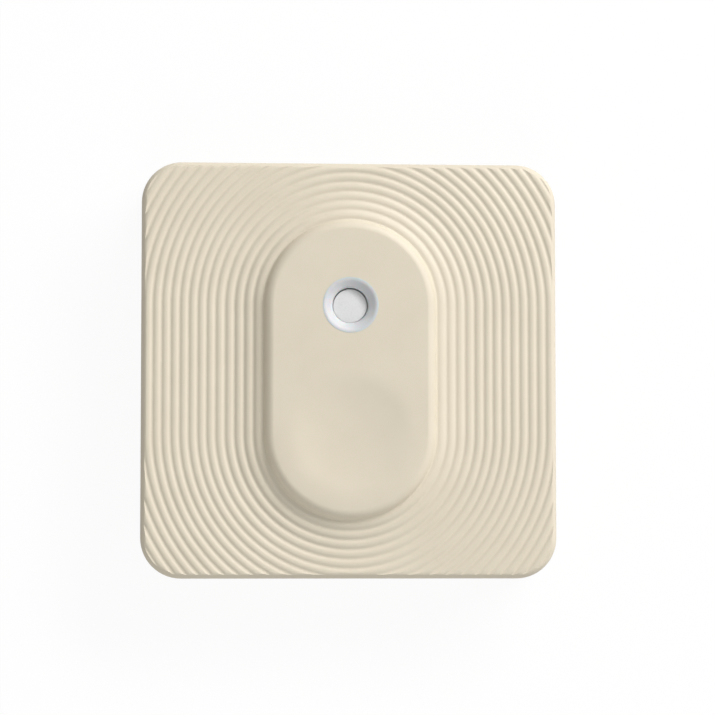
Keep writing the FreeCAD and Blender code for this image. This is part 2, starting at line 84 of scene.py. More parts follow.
# %% Cut, join or keep the common part of two solids
def is_closed(made):
    """True where every edge of a solid has two faces."""
    drawing = bmesh.new()
    drawing.from_mesh(made.data)
    closed = all(edge.is_manifold for edge in drawing.edges)
    drawing.free()
    return closed


def carve(target, tools, operation):
    """Applies a Boolean with each tool in turn, then deletes the tools."""
    open_solids = [made.name for made in (target, *tools) if not is_closed(made)]
    print(operation, "open solids:", open_solids)
    for tool in tools:
        step = target.modifiers.new("carve", "BOOLEAN")
        step.operation = operation
        step.solver = "MANIFOLD"
        step.object = tool
    graph = bpy.context.evaluated_depsgraph_get()
    carved = bpy.data.meshes.new_from_object(target.evaluated_get(graph))
    target.modifiers.clear()
    target.data = carved
    for tool in tools:
        bpy.data.objects.remove(tool)


# %% [markdown]
# A finish is more than a colour. Moulded plastic has a fine texture from the spark-eroded mould,
# sheet metal has scratches that all run one way, and ceramic is speckled. Each finish here mixes
# two close colours by a pattern, lets a pattern change the gloss, and raises the surface by a few
# thousandths of a millimetre. The patterns read Object coordinates, so they keep their real size
# and stay in place when a body moves.

# %% Start a finish
FINISHES = {}


def new_finish(slot, roughness, metallic=0.0, specular=0.5):
    """Material for one slot of the record. Returns its node tree."""
    material = bpy.data.materials.new(slot)
    material.use_nodes = True
    shader = material.node_tree.nodes["Principled BSDF"]
    shader.inputs["Roughness"].default_value = roughness
    shader.inputs["Metallic"].default_value = metallic
    shader.inputs["Specular IOR Level"].default_value = specular
    FINISHES[slot] = material
    return material.node_tree


def shader_of(tree):
    """The Principled shader of a finish."""
    return tree.nodes["Principled BSDF"]


# %% [markdown]
# Noise gives grains and Voronoi gives cells. A Mapping node counts the place on the piece in
# millimetres, so that each size below is a length that could be measured on the real surface.

# %% Patterns in millimetres on Object coordinates
GRAIN_DETAIL = 3


def point_on_piece(tree, stretch=(1, 1, 1)):
    """Place on the piece in millimetres. A stretch above 1 pulls the pattern out along that axis."""
    coordinates = tree.nodes.new("ShaderNodeTexCoord")
    mapping = tree.nodes.new("ShaderNodeMapping")
    mapping.inputs["Scale"].default_value = [1 / (MM * way) for way in stretch]
    tree.links.new(coordinates.outputs["Object"], mapping.inputs["Vector"])
    return mapping.outputs["Vector"]


def grain(tree, size, stretch=(1, 1, 1)):
    """Noise whose grains are about size millimetres across."""
    noise = tree.nodes.new("ShaderNodeTexNoise")
    noise.inputs["Scale"].default_value = 1 / size
    noise.inputs["Detail"].default_value = GRAIN_DETAIL
    tree.links.new(point_on_piece(tree, stretch), noise.inputs["Vector"])
    return noise.outputs["Fac"]


def cells(tree, size, output="Distance", metric="EUCLIDEAN"):
    """Cells about size millimetres across: the distance from each middle, or a colour for each."""
    voronoi = tree.nodes.new("ShaderNodeTexVoronoi")
    voronoi.distance = metric
    voronoi.inputs["Scale"].default_value = 1 / size
    tree.links.new(point_on_piece(tree), voronoi.inputs["Vector"])
    return voronoi.outputs[output]


def calculate(tree, operation, first, second=0):
    """Result of a sum on two sockets or numbers."""
    step = tree.nodes.new("ShaderNodeMath")
    step.operation = operation
    for socket, value in zip(step.inputs, (first, second)):
        if isinstance(value, bpy.types.NodeSocket):
            tree.links.new(value, socket)
        else:
            socket.default_value = value
    return step.outputs[0]


def axes(tree, vector):
    """The three numbers of a vector or a colour."""
    parts = tree.nodes.new("ShaderNodeSeparateXYZ")
    tree.links.new(vector, parts.inputs[0])
    return parts.outputs


# %% [markdown]
# A pattern's values lie mostly near the middle, so a Map Range node spreads them before they mix
# colours or change the gloss. Bump nodes turn the light as if the surface rose and fell.

# %% Colour, gloss and relief
def between(tree, pattern, low=0.0, high=1.0, start=0.3, end=0.7):
    """Spreads a pattern's values from start to end over low to high."""
    spread = tree.nodes.new("ShaderNodeMapRange")
    limits = {"From Min": start, "From Max": end, "To Min": low, "To Max": high}
    for name, limit in limits.items():
        spread.inputs[name].default_value = limit
    tree.links.new(pattern, spread.inputs["Value"])
    return spread.outputs["Result"]


def colours(tree, pattern, first, second):
    """Colour that goes from the first to the second as a pattern goes from 0 to 1."""
    mix = tree.nodes.new("ShaderNodeMix")
    mix.data_type = "RGBA"
    tree.links.new(pattern, mix.inputs["Factor"])
    by_name = {"A": first, "B": second}
    for socket in mix.inputs:
        if socket.enabled and socket.name in by_name:
            value = by_name[socket.name]
            if isinstance(value, bpy.types.NodeSocket):
                tree.links.new(value, socket)
            else:
                socket.default_value = (*value, 1)
    return next(socket for socket in mix.outputs if socket.enabled)


def paint(tree, pattern, first, second):
    """Paints the surface with two colours that a pattern mixes."""
    colour = colours(tree, pattern, first, second)
    tree.links.new(colour, shader_of(tree).inputs["Base Color"])


def vary_gloss(tree, pattern, low, high):
    """Roughness from low to high, as a pattern goes."""
    tree.links.new(between(tree, pattern, low, high), shader_of(tree).inputs["Roughness"])


def emboss(tree, pattern, height):
    """Raises the surface by a pattern, height millimetres at most, over any relief it has."""
    bump = tree.nodes.new("ShaderNodeBump")
    bump.inputs["Distance"].default_value = height * MM
    tree.links.new(pattern, bump.inputs["Height"])
    normal = shader_of(tree).inputs["Normal"]
    below = [link.from_socket for link in normal.links]
    for socket in below:
        tree.links.new(socket, bump.inputs["Normal"])
    tree.links.new(bump.outputs["Normal"], normal)


# %% [markdown]
# The housing is ivory plastic with a soft, fine-grained skin. Its colour is nearly even: a mottle a
# few millimetres wide only just shows. The grain is a tenth of a millimetre, and there is a very
# low waviness, as on every moulding.

# %% Ivory housing plastic
IVORY = ((0.697, 0.627, 0.499), (0.719, 0.649, 0.519))

tree = new_finish("shell_plastic", roughness=0.56)
skin = grain(tree, size=0.12)
mottle = between(tree, grain(tree, size=3.0))
paint(tree, mottle, *IVORY)
vary_gloss(tree, skin, low=0.5, high=0.62)
emboss(tree, grain(tree, size=0.9), height=0.002)
emboss(tree, skin, height=0.0012)

# %% [markdown]
# The ring is clear plastic with a white filler, so light goes a little way in before it comes out
# again. The Principled shader calls that subsurface scattering, and its scale is a real length.

# %% White translucent ring
RING_WHITE = ((0.63, 0.64, 0.65), (0.66, 0.67, 0.68))
LIGHT_SHARE = 0.3
LIGHT_REACH = 0.3

tree = new_finish("ring_plastic", roughness=0.45, specular=0.35)
shader_of(tree).inputs["Subsurface Weight"].default_value = LIGHT_SHARE
shader_of(tree).inputs["Subsurface Scale"].default_value = LIGHT_REACH * MM
cloud = between(tree, grain(tree, size=0.8))
paint(tree, cloud, *RING_WHITE)
vary_gloss(tree, grain(tree, size=0.15), low=0.4, high=0.52)
emboss(tree, grain(tree, size=0.2), height=0.001)

# %% [markdown]
# The plug is sintered: small plastic beads are fused so that air goes between them. Cells a tenth
# of a millimetre wide give the beads, and dark points between them the pores.

# %% Porous plug
PLUG_WHITE = ((0.725, 0.725, 0.725), (0.695, 0.695, 0.695))

tree = new_finish("membrane", roughness=0.8, specular=0.3)
beads = cells(tree, size=0.11)
pores = between(tree, beads, start=0.45, end=0.75)
paint(tree, pores, *PLUG_WHITE)
vary_gloss(tree, beads, low=0.7, high=0.95)
emboss(tree, beads, height=-0.0015)

# %% [markdown]
# The foam collar is soft, dark and full of fine bubbles.

# %% Foam
FOAM_BLACK = ((0.025, 0.025, 0.027), (0.085, 0.085, 0.09))

tree = new_finish("foam", roughness=0.9, specular=0.2)
bubbles = cells(tree, size=0.14)
foam_walls = between(tree, bubbles, start=0.2, end=0.7)
paint(tree, foam_walls, *FOAM_BLACK)
vary_gloss(tree, bubbles, low=0.8, high=0.95)
emboss(tree, bubbles, height=0.03)

# %% [markdown]
# A circuit board shows its copper through the green varnish. Runs of parallel tracks fill square
# regions, along X in some and along Y in others, and small tinned holes join the two sides.

# %% Board laminate with tracks under varnish
TRACK_PITCH = 0.62
TRACK_SHARE = 0.42
REGION_SIZE = 4.2
SHARE_ALONG_Y = 0.5
SHARE_BARE = 0.42
HOLE_PITCH = 2.3
HOLE_SHARE = 0.1
VARNISH_GREEN = ((0.012, 0.1, 0.045), (0.03, 0.19, 0.08))
HOLE_TIN = (0.72, 0.7, 0.64)

tree = new_finish("board_laminate", roughness=0.3)
x, y, _ = axes(tree, point_on_piece(tree))
regions = axes(tree, cells(tree, REGION_SIZE, "Color", "CHEBYCHEV"))


def tracks(tree, across):
    """1 on a track and 0 beside it, for tracks side by side along one axis."""
    share = calculate(tree, "FRACT", calculate(tree, "DIVIDE", across, TRACK_PITCH))
    return calculate(tree, "LESS_THAN", share, TRACK_SHARE)


runs_along_x = calculate(tree, "GREATER_THAN", regions[0], SHARE_ALONG_Y)
runs_along_y = calculate(tree, "SUBTRACT", 1, runs_along_x)
has_tracks = calculate(tree, "GREATER_THAN", regions[1], SHARE_BARE)
along_x = calculate(tree, "MULTIPLY", runs_along_x, tracks(tree, y))
along_y = calculate(tree, "MULTIPLY", runs_along_y, tracks(tree, x))
copper = calculate(tree, "MULTIPLY", has_tracks, calculate(tree, "ADD", along_x, along_y))
holes = calculate(tree, "LESS_THAN", cells(tree, HOLE_PITCH), HOLE_SHARE)
varnish = colours(tree, copper, *VARNISH_GREEN)
paint(tree, holes, varnish, HOLE_TIN)
tree.links.new(holes, shader_of(tree).inputs["Metallic"])
vary_gloss(tree, grain(tree, size=0.7), low=0.24, high=0.38)
emboss(tree, copper, height=0.02)
emboss(tree, grain(tree, size=0.4), height=0.002)

# %% [markdown]
# Chip bodies and the switch are black moulding compound: dark, dull and lightly speckled.

# %% Black compounds
COMPOUND_BLACK = ((0.017, 0.017, 0.018), (0.036, 0.036, 0.038))
SPECKLE_SIZES = {"chip_black": 0.09, "switch_plastic": 0.16}
PATCH_TO_SPECKLE = 3

for slot, speckle_size in SPECKLE_SIZES.items():
    tree = new_finish(slot, roughness=0.55, specular=0.4)
    speckle = between(tree, grain(tree, speckle_size))
    paint(tree, speckle, *COMPOUND_BLACK)
    vary_gloss(tree, grain(tree, speckle_size * PATCH_TO_SPECKLE), low=0.46, high=0.64)
    emboss(tree, speckle, height=0.003)

# %% [markdown]
# The ceramics are fired, so they are tan, dull and a little uneven. The large capacitor is dipped in
# yellow resin, which is smoother.

# %% Ceramic and yellow resin
CERAMIC_TAN = ((0.5, 0.42, 0.31), (0.6, 0.53, 0.42))
RESIN_YELLOW = ((0.6, 0.33, 0.04), (0.68, 0.4, 0.06))

tree = new_finish("chip_ceramic", roughness=0.6)
firing = between(tree, grain(tree, size=0.5))
paint(tree, firing, *CERAMIC_TAN)
vary_gloss(tree, grain(tree, size=0.1), low=0.5, high=0.7)
emboss(tree, grain(tree, size=0.08), height=0.003)

tree = new_finish("capacitor_yellow", roughness=0.4)
resin = between(tree, grain(tree, size=0.7))
paint(tree, resin, *RESIN_YELLOW)
vary_gloss(tree, grain(tree, size=0.2), low=0.34, high=0.48)
emboss(tree, grain(tree, size=0.3), height=0.004)

# %% [markdown]
# Metal has almost no colour of its own. What makes it look like metal is how its gloss breaks up:
# drawn strip has long scratches, and tin that has been melted is smooth with a faint orange peel.

# %% Spring steel and tin
LONG_SCRATCHES = (14, 1, 1)
SHORT_SCRATCHES = (6, 1, 1)
STEEL_GREY = ((0.56, 0.55, 0.53), (0.66, 0.65, 0.63))
TIN_GREY = ((0.68, 0.67, 0.63), (0.76, 0.75, 0.71))

tree = new_finish("contact_steel", roughness=0.3, metallic=1.0)
scratches = grain(tree, size=0.05, stretch=LONG_SCRATCHES)
steel = between(tree, scratches)
paint(tree, steel, *STEEL_GREY)
vary_gloss(tree, scratches, low=0.22, high=0.42)
emboss(tree, scratches, height=0.0015)

tree = new_finish("contact_tin", roughness=0.3, metallic=1.0)
peel = grain(tree, size=0.25)
tinned = between(tree, peel)
paint(tree, tinned, *TIN_GREY)
vary_gloss(tree, grain(tree, size=0.08, stretch=SHORT_SCRATCHES), low=0.24, high=0.42)
emboss(tree, peel, height=0.006)

# %% [markdown]
# The cell's cup and cap are pressed from nickel-plated steel and polished as they spin, so their
# scratches are circles round the cell's axis. The pattern reads the distance from that axis.

# %% Nickel plate
NICKEL_GREY = ((0.62, 0.61, 0.58), (0.7, 0.69, 0.66))
POLISH_SIZE = 0.09
POLISH_DETAIL = 4

tree = new_finish("cell_metal", roughness=0.28, metallic=1.0)
x, y, _ = axes(tree, point_on_piece(tree))
squares = [calculate(tree, "MULTIPLY", way, way) for way in (x, y)]
distance = calculate(tree, "SQRT", calculate(tree, "ADD", *squares))
rings = tree.nodes.new("ShaderNodeTexNoise")
rings.noise_dimensions = "1D"
rings.inputs["Scale"].default_value = 1 / POLISH_SIZE
rings.inputs["Detail"].default_value = POLISH_DETAIL
tree.links.new(distance, rings.inputs["W"])
polish = between(tree, rings.outputs["Fac"])
paint(tree, polish, *NICKEL_GREY)
wear = calculate(tree, "MULTIPLY", polish, grain(tree, size=2.5))
vary_gloss(tree, wear, low=0.2, high=0.4)
emboss(tree, rings.outputs["Fac"], height=0.0015)
emboss(tree, grain(tree, size=1.2), height=0.003)

# %% [markdown]
# The last two are small: the dark nylon of the cell's seal and the clear lens of the lamp.

# %% Seal and lamp lens
NYLON_BLACK = ((0.03, 0.03, 0.036), (0.05, 0.05, 0.058))
PHOSPHOR_YELLOW = ((0.8, 0.74, 0.45), (0.85, 0.82, 0.62))
LENS_CLEARNESS = 0.6

tree = new_finish("cell_grommet", roughness=0.45)
nylon = between(tree, grain(tree, size=0.4))
paint(tree, nylon, *NYLON_BLACK)
vary_gloss(tree, grain(tree, size=0.15), low=0.38, high=0.55)
emboss(tree, grain(tree, size=0.2), height=0.002)

tree = new_finish("lamp_clear", roughness=0.2)
shader_of(tree).inputs["Transmission Weight"].default_value = LENS_CLEARNESS
phosphor = between(tree, grain(tree, size=0.2))
paint(tree, phosphor, *PHOSPHOR_YELLOW)
vary_gloss(tree, grain(tree, size=0.1), low=0.14, high=0.28)
emboss(tree, grain(tree, size=0.15), height=0.001)
print("finishes:", sorted(FINISHES))

# %% [markdown]
# Each node of the CAD model gets the finish that its record names. Pieces that are remade below
# take the place of their node, and the small plain nodes keep their own solid.

# %% Dress the CAD nodes
for subpart in frame["record"]["subparts"]:
    node = frame["nodes"][subpart["node"]]
    for slot in node.material_slots:
        slot.material = FINISHES[subpart["material_slot"]]

# %% [markdown]
# A moulded surface is smooth, but its corners are not. Every face is shaded smooth, and an edge
# that turns by more than a set angle stays sharp. The Weighted Normal modifier then lets the large
# flat faces decide how light falls on them, so that no shadow leaks in from a narrow round.

# %% Finish a piece
SHARP_ANGLE = math.radians(32)
EVEN_WEIGHT = 90


def finish_piece(made, body, slot, stands_for=()):
    """Shrinks a solid to metres, shades it and hangs it on its body."""
    made.data.transform(Matrix.Scale(MM, 4))
    made.data.shade_smooth()
    made.data.set_sharp_from_angle(angle=SHARP_ANGLE)
    weighted = made.modifiers.new("even shading", "WEIGHTED_NORMAL")
    weighted.keep_sharp = True
    weighted.weight = EVEN_WEIGHT
    made.data.materials.clear()
    made.data.materials.append(FINISHES[slot])
    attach(made, body)
    if stands_for:
        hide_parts(*stands_for)
    print(made.name, "faces:", len(made.data.polygons), "rides on", body)


# %% [markdown]
# Three ways to draw cover nearly every piece: a block with round upright corners that steps in or
# out as it rises, a section turned about an upright axis, and a flat section pushed along.

# %% Draw a block with round corners
CORNER_STEPS = 14


def only(geometry, kind):
    """Those of one kind, such as the points, among what an operator returns."""
    return [part for part in geometry if isinstance(part, kind)]


def round_off(drawing, geometry, offset, affect, steps):
    """Bevels points or edges to an even arc."""
    bmesh.ops.bevel(
        drawing,
        geom=geometry,
        offset=offset,
        affect=affect,
        segments=steps,
        profile=0.5,
        material=-1,
    )


def draw_rounded_square(drawing, half_width, half_height, corner, level):
    """Flat face with round corners, centred on the upright axis."""
    made = bmesh.ops.create_grid(drawing, x_segments=1, y_segments=1, size=1)
    bmesh.ops.scale(drawing, verts=made["verts"], vec=(half_width, half_height, 1))
    bmesh.ops.translate(drawing, verts=made["verts"], vec=(0, 0, level))
    round_off(drawing, made["verts"], corner, "VERTICES", CORNER_STEPS)


def tower(half_width, half_height, corner, levels):
    """Block with round upright corners. Each level is its inset from the outline and its height."""
    drawing = bmesh.new()
    first_inset, level = levels[0]
    first_half = (half_width - first_inset, half_height - first_inset)
    draw_rounded_square(drawing, *first_half, corner - first_inset, level)
    raised = bmesh.ops.extrude_face_region(drawing, geom=drawing.faces[:])
    top = only(raised["geom"], bmesh.types.BMFace)
    inset = first_inset
    for next_inset, next_level in levels[1:]:
        bmesh.ops.inset_region(
            drawing,
            faces=top,
            thickness=next_inset - inset,
            depth=next_level - level,
            use_boundary=True,
            use_even_offset=True,
        )
        inset, level = next_inset, next_level
    return drawing


# %% [markdown]
# Most sections are a run of edges in an upright plane. Each point is written as its distance, its
# height and its rounding, and the Bevel operator turns such a corner into a small arc.

# %% Draw a run of edges and round its corners
ROUND_STEPS = 5


def draw_run(drawing, points, centre_y=0.0):
    """Run of edges through (distance, height, rounding) points, in the upright plane at centre_y."""
    corners = [drawing.verts.new((across, centre_y, height)) for across, height, _ in points]
    for pair in zip(corners, corners[1:]):
        drawing.edges.new(pair)
    for corner, (_, _, rounding) in zip(corners, points):
        if rounding:
            round_off(drawing, [corner], rounding, "VERTICES", ROUND_STEPS)


# %% [markdown]
# The port, the light ring and the coin cell are round, as parts from a lathe are. The Spin
# operator turns their section once round, and use_merge closes the seam.

# %% Turn a section about an upright axis
UP = (0, 0, 1)
TURN_STEPS = 96


def turned(points, centre=(0.0, 0.0), name="turned"):
    """Solid of revolution. The section runs from the axis to the axis, or round and back."""
    drawing = bmesh.new()
    draw_run(drawing, points)
    bmesh.ops.spin(
        drawing,
        geom=drawing.verts[:] + drawing.edges[:],
        cent=(0, 0, 0),
        axis=UP,
        dvec=(0, 0, 0),
        angle=2 * math.pi,
        steps=TURN_STEPS,
        use_merge=True,
    )
    bmesh.ops.translate(drawing, verts=drawing.verts, vec=(*centre, 0))
    return solid(drawing, name)


# %% [markdown]
# Bars and boxes have the same section all along. One flat face is drawn, and the Extrude operator
# pushes it out and adds the walls.

# %% Push a flat section along
def push_along(drawing, faces, way):
    """Gives flat faces a depth, and returns the points that moved."""
    pushed = bmesh.ops.extrude_face_region(drawing, geom=faces)
    moved = only(pushed["geom"], bmesh.types.BMVert)
    bmesh.ops.translate(drawing, verts=moved, vec=way)
    return moved


def bar(drawing, section, start, length):
    """Bar along Y from a section of (x, height) corners. Returns its points."""
    corners = [drawing.verts.new((x, start, height)) for x, height in section]
    face = drawing.faces.new(corners)
    return corners + push_along(drawing, [face], (0, length, 0))


def box(drawing, centre, size, low, high):
    """Upright box by its centre in plan, its length and width, and its two levels."""
    length, width = size
    half = length / 2
    section = [(centre[0] - half, low), (centre[0] + half, low)]
    section += [(centre[0] + half, high), (centre[0] - half, high)]
    return bar(drawing, section, centre[1] - width / 2, width)


# %% [markdown]
# The front shell is one moulding, and it is what the picture is about. A raised plateau stands in
# the middle: two half rounds joined by straight sides. Fine ribs follow that outline all the way
# out, on a field that flares up to the plateau, and they run out in a soft round rim.
# In steel this face would be milled as one profile led round a track. The same track works here:
# one section is turned round both ends and pushed along both straight sides.

# %% Sizes of the face, in millimetres
HALF_WIDTH = 17.5
HALF_HEIGHT = 17.5
CORNER_RADIUS = 3.4
SPINE_HALF = 5.375
PLATEAU_Z = 7.294
FOOT = 7.27
FIRST_VALLEY = 7.34
FLANK_TURN = math.radians(68)
FIELD_Z = 6.1
RIB_PITCH = 0.751
FLARE_PITCH = 0.793
RIB_DEPTH = 0.18
CREST_ROUND = 0.24
VALLEY_ROUND = 0.12
FOOT_ROUND = 0.13
FLARE_WIDTH = 3.4
FLARE_RADIUS = 11.0
SEAM_Z = 1.5
FACE_REACH = 21.5
CREST_Z = FIELD_Z + RIB_DEPTH / 2


def field_height(distance):
    """Mean level of the ribbed field at a distance from the plateau's spine."""
    inside = max(0.0, FIRST_VALLEY + FLARE_WIDTH - distance)
    return FIELD_Z + FLARE_RADIUS - math.sqrt(FLARE_RADIUS**2 - inside**2)


FOOT_Z = field_height(FIRST_VALLEY) - RIB_DEPTH / 2

# %% [markdown]
# The section is drawn as straight roofs, one for each rib, and the Bevel operator rounds them:
# broad crests and narrow valleys, as the light on the real ribs shows.
# Two rounds must leave a little of the line between them, so the ones on the flank are shortened.

# %% The section of the face
FLANK_SHARE = 0.85
ROUND_FIT = 0.98
FLANK_LEAD = (PLATEAU_Z - FOOT_Z) / math.sin(FLANK_TURN)
FLANK_CORNER = FOOT - (PLATEAU_Z - FOOT_Z) / math.tan(FLANK_TURN)
FLANK_ROUND = FLANK_SHARE * (FLANK_LEAD - FOOT_ROUND)


def face_points():
    """Corners of the face, from the spine outwards, then down and back under it."""
    points = [(0, PLATEAU_Z, 0), (FLANK_CORNER, PLATEAU_Z, FLANK_ROUND)]
    points.append((FOOT, FOOT_Z, FOOT_ROUND * ROUND_FIT))
    valley = FIRST_VALLEY
    while valley < FACE_REACH:
        pitch = FLARE_PITCH if valley < FIRST_VALLEY + FLARE_WIDTH else RIB_PITCH
        crest = valley + pitch / 2
        valley += pitch
        points.append((crest, field_height(crest) + RIB_DEPTH / 2, CREST_ROUND))
        points.append((valley, field_height(valley) - RIB_DEPTH / 2, VALLEY_ROUND))
    points[-1] = points[-1][:2] + (0,)
    return points + [(valley, SEAM_Z, 0), (0, SEAM_Z, 0)]


# %% [markdown]
# Spin turns the section half round one end, Extrude pushes it along the straight side, and the
# same two steps close the track. Nothing has to be fitted, because it is one line that moves.

# %% Lead the section round the track
HALF_TURN_STEPS = 64


def moved_run(drawing, geometry, way):
    """Pushes a run of edges along, and returns the far run."""
    edges = only(geometry, bmesh.types.BMEdge)
    pushed = bmesh.ops.extrude_edge_only(drawing, edges=edges)["geom"]
    points = only(pushed, bmesh.types.BMVert)
    bmesh.ops.translate(drawing, verts=points, vec=way)
    return points + only(pushed, bmesh.types.BMEdge)


def half_turn(drawing, geometry, centre_y):
    """Turns a run of edges half round an upright axis, and returns the far run."""
    turn = bmesh.ops.spin(
        drawing,
        geom=geometry,
        cent=(0, centre_y, 0),
        axis=UP,
        dvec=(0, 0, 0),
        angle=-math.pi,
        steps=HALF_TURN_STEPS,
        use_merge=False,
    )
    return turn["geom_last"]


def track(points, name):
    """Solid with the plateau's outline: one section turned round both ends and pushed between."""
    drawing = bmesh.new()
    draw_run(drawing, points, centre_y=-SPINE_HALF)
    run = half_turn(drawing, drawing.verts[:] + drawing.edges[:], -SPINE_HALF)
    run = moved_run(drawing, run, (0, 2 * SPINE_HALF, 0))
    run = half_turn(drawing, run, SPINE_HALF)
    moved_run(drawing, run, (0, -2 * SPINE_HALF, 0))
    return solid(drawing, name)


shell = track(face_points(), "shell_front")
print("ribbed block faces:", len(shell.data.polygons))

# %% [markdown]
# The rim rounds over from the upright walls to the crests in a flat curve, so that each groove
# fades out where the curve falls below it. The block that gives this shape is kept in common with
# the ribbed one.

# %% Keep what lies inside the rounded rim
SEAM_CHAMFER = 0.12
RIM_WIDTH = 0.76
RIM_HEIGHT = 0.74
RIM_TURN = math.radians(82)
RIM_STEPS = 9
ABOVE = 0.4


def rim_levels():
    """Insets and heights of the rim, from the seam up to above the plateau."""
    levels = [(SEAM_CHAMFER, SEAM_Z), (0, SEAM_Z + SEAM_CHAMFER)]
    start = CREST_Z - RIM_HEIGHT
    for step in range(RIM_STEPS + 1):
        turn = RIM_TURN * step / RIM_STEPS
        levels.append((RIM_WIDTH * (1 - math.cos(turn)), start + RIM_HEIGHT * math.sin(turn)))
    inset, level = levels[-1]
    top = PLATEAU_Z + ABOVE
    levels.append((inset + (top - level), top))
    return levels


rim = solid(tower(HALF_WIDTH, HALF_HEIGHT, CORNER_RADIUS, rim_levels()), "rim")
carve(shell, [rim], "INTERSECT")
print("face after the rim:", len(shell.data.polygons))

# %% [markdown]
# The dish is where a finger presses. Its hollow is part of a large ball, and its edge eases back
# into the flat, so no line shows round it. The hole for the air port is drilled right through. Its
# cutter reaches a little past the face (PAST), so that no thin skin is left over the hole.

# %% Cut the finger dish and the air port
DISH_RADIUS = 5.6
DISH_EASING = 1.3
DISH_SLOPE = math.radians(7)
DISH_STEPS = 8
PORT_RADIUS = 2.31
PORT_CENTRE = (0.0, SPINE_HALF)
DISH_CENTRE = (0.0, -SPINE_HALF)
BOARD_TOP = 5.1
PAST = 0.1


def dish_points():
    """Section of the cutter for the dish, from its bottom out to the eased edge."""
    hollow_end = DISH_RADIUS - DISH_EASING
    ball = hollow_end / math.sin(DISH_SLOPE)
    easing = DISH_EASING / math.sin(DISH_SLOPE)
    edge_z = PLATEAU_Z - easing * (1 - math.cos(DISH_SLOPE))
    bottom = edge_z - ball * (1 - math.cos(DISH_SLOPE))
    points = []
    for step in range(DISH_STEPS + 1):
        turn = DISH_SLOPE * step / DISH_STEPS
        points.append((ball * math.sin(turn), bottom + ball * (1 - math.cos(turn)), 0))
    for step in range(DISH_STEPS - 1, -1, -1):
        turn = DISH_SLOPE * step / DISH_STEPS
        across = DISH_RADIUS - easing * math.sin(turn)
        points.append((across, PLATEAU_Z - easing * (1 - math.cos(turn)), 0))
    return points + [(DISH_RADIUS, PLATEAU_Z + ABOVE, 0), (0, PLATEAU_Z + ABOVE, 0)]


dish = turned(dish_points(), DISH_CENTRE)
port_top = PLATEAU_Z + PAST
port_points = [(0, BOARD_TOP, 0), (PORT_RADIUS, BOARD_TOP, 0), (PORT_RADIUS, port_top, 0)]
port = turned(port_points + [(0, port_top, 0)], PORT_CENTRE)
carve(shell, [dish, port], "DIFFERENCE")

# %% [markdown]
# Behind the face the shell is hollow. A wide room holds the board and the cell, and a pocket
# under the plateau holds the switch, the lamp and the flange of the light ring. Where solids are
# cut or joined they overlap by a fifth of a millimetre, because faces that only touch may not.

# %% Hollow the shell out
SIDE_WALL = 1.2
CEILING_Z = 5.2
PLATEAU_WALL = 0.9
POCKET_RADIUS = 5.965
POCKET_Z = PLATEAU_Z - PLATEAU_WALL
INNER_X = HALF_WIDTH - SIDE_WALL
INNER_Y = HALF_HEIGHT - SIDE_WALL
INNER_CORNER = CORNER_RADIUS - SIDE_WALL
OVERLAP = 0.2

room_levels = [(0, SEAM_Z - OVERLAP), (0, CEILING_Z)]
room = solid(tower(INNER_X, INNER_Y, INNER_CORNER, room_levels), "room")
pocket_points = [(0, BOARD_TOP, 0), (POCKET_RADIUS, BOARD_TOP, 0), (POCKET_RADIUS, POCKET_Z, 0)]
pocket = track(pocket_points + [(0, POCKET_Z, 0)], "pocket")
carve(shell, [room, pocket], "DIFFERENCE")

# %% [markdown]
# Small features repeat on all four walls: grooves that the cover snaps into, clips that the board
# rests on and guides beside its edges. Each is drawn once, at the right wall, and then turned.

# %% Copies of a feature along the four walls
QUARTERS = 4


def quarter_turns(drawing, points, count):
    """Turns points by a number of quarter turns round the upright axis."""
    turn = Matrix.Rotation(math.pi / 2 * count, 3, "Z")
    bmesh.ops.rotate(drawing, verts=points, cent=(0, 0, 0), matrix=turn)


def on_four_walls(draw, offsets, name):
    """One object with a feature on each wall. draw makes it on the right wall at an offset."""
    drawing = bmesh.new()
    for quarter in range(QUARTERS):
        for offset in offsets:
            quarter_turns(drawing, draw(drawing, offset), quarter)
    return solid(drawing, name)


# %% [markdown]
# The grooves are cut into the walls. The clips, the guides and the boss that presses the switch
# are moulded on: their roots are sunk in a wall or in the ceiling, so that the union is one solid.

# %% Grooves, clips, guides and the press boss
BOARD_BACK = 4.3
BOARD_CLEARANCE = 0.4
BOARD_X = INNER_X - BOARD_CLEARANCE
SNAP_Z = 2.35
SNAP_OFFSETS = (-8.0, 8.0)
SNAP_LENGTH = 4.0
SNAP_HALF_HEIGHT = 0.3
GROOVE_DEPTH = 0.25
GROOVE_MARGIN = 0.15
CLIP_LENGTH = 3.5
CLIP_HEIGHT = 0.7
CLIP_TIP = CLIP_HEIGHT / 3
CLIP_GRIP = 0.5
GUIDE_OFFSETS = (-10.5, 10.5)
GUIDE_WIDTH = 1.0
GUIDE_CLEARANCE = 0.1
BOSS_RADIUS = 0.9
BOSS_LOW = 6.1
BOSS_ROUND = 0.15
WALL_ROOT = INNER_X + SIDE_WALL / 2


def groove(drawing, offset):
    """Cutter for the groove that a snap nose clicks into."""
    size = (2 * GROOVE_DEPTH, SNAP_LENGTH + 2 * GROOVE_MARGIN)
    reach = SNAP_HALF_HEIGHT + GROOVE_MARGIN
    return box(drawing, (INNER_X, offset), size, SNAP_Z - reach, SNAP_Z + reach)


def clip(drawing, offset):
    """Wedge with a sloped lead-in below and a flat seat for the board."""
    tip = BOARD_X - CLIP_GRIP
    low = BOARD_BACK - CLIP_HEIGHT
    section = [(WALL_ROOT, low), (INNER_X, low), (tip, BOARD_BACK - CLIP_TIP)]
    section += [(tip, BOARD_BACK), (WALL_ROOT, BOARD_BACK)]
    return bar(drawing, section, offset - CLIP_LENGTH / 2, CLIP_LENGTH)


